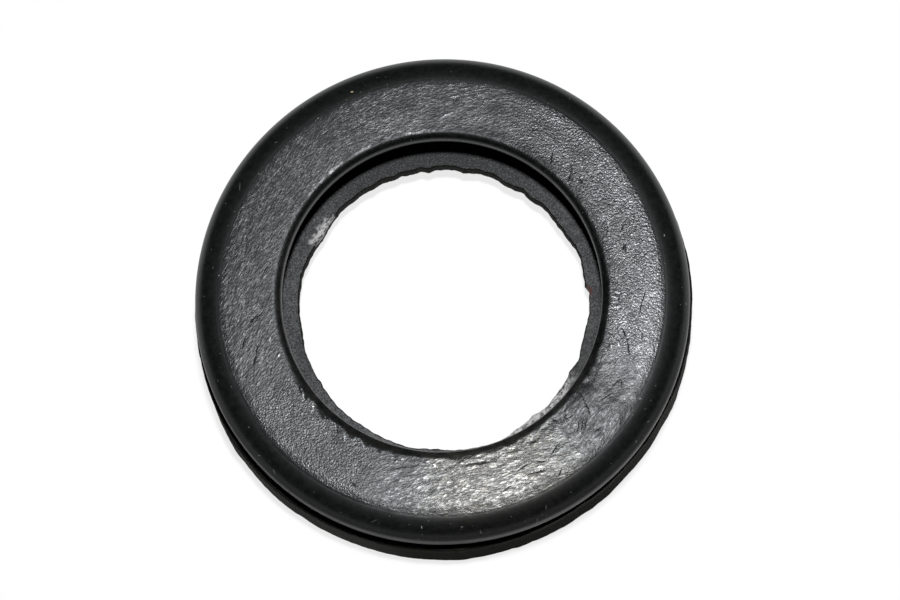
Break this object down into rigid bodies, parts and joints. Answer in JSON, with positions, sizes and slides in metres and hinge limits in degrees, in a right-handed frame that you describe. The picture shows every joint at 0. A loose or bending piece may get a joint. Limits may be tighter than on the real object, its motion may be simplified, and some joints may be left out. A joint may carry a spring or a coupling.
{
  "type": "fuel cap gasket",
  "caption": "Round moulded rubber gasket with a flat sealing face, an undercut inner groove that clips round a cap's plate, and torn and hand-trimmed edges.",
  "frame": {"origin": "centre of the underside, where the gasket lies on a surface", "axes": "+Z along the ring's axis, out of the sealing face; +X and +Y lie in the plane of the underside"},
  "size_m": [0.0629, 0.0628, 0.0134],
  "materials": {
    "rubber": "moulded black rubber, leathery sealing face, smooth rim"
  },
  "bodies": {
    "root": {"gasket": "rubber"}
  },
  "joints": []
}
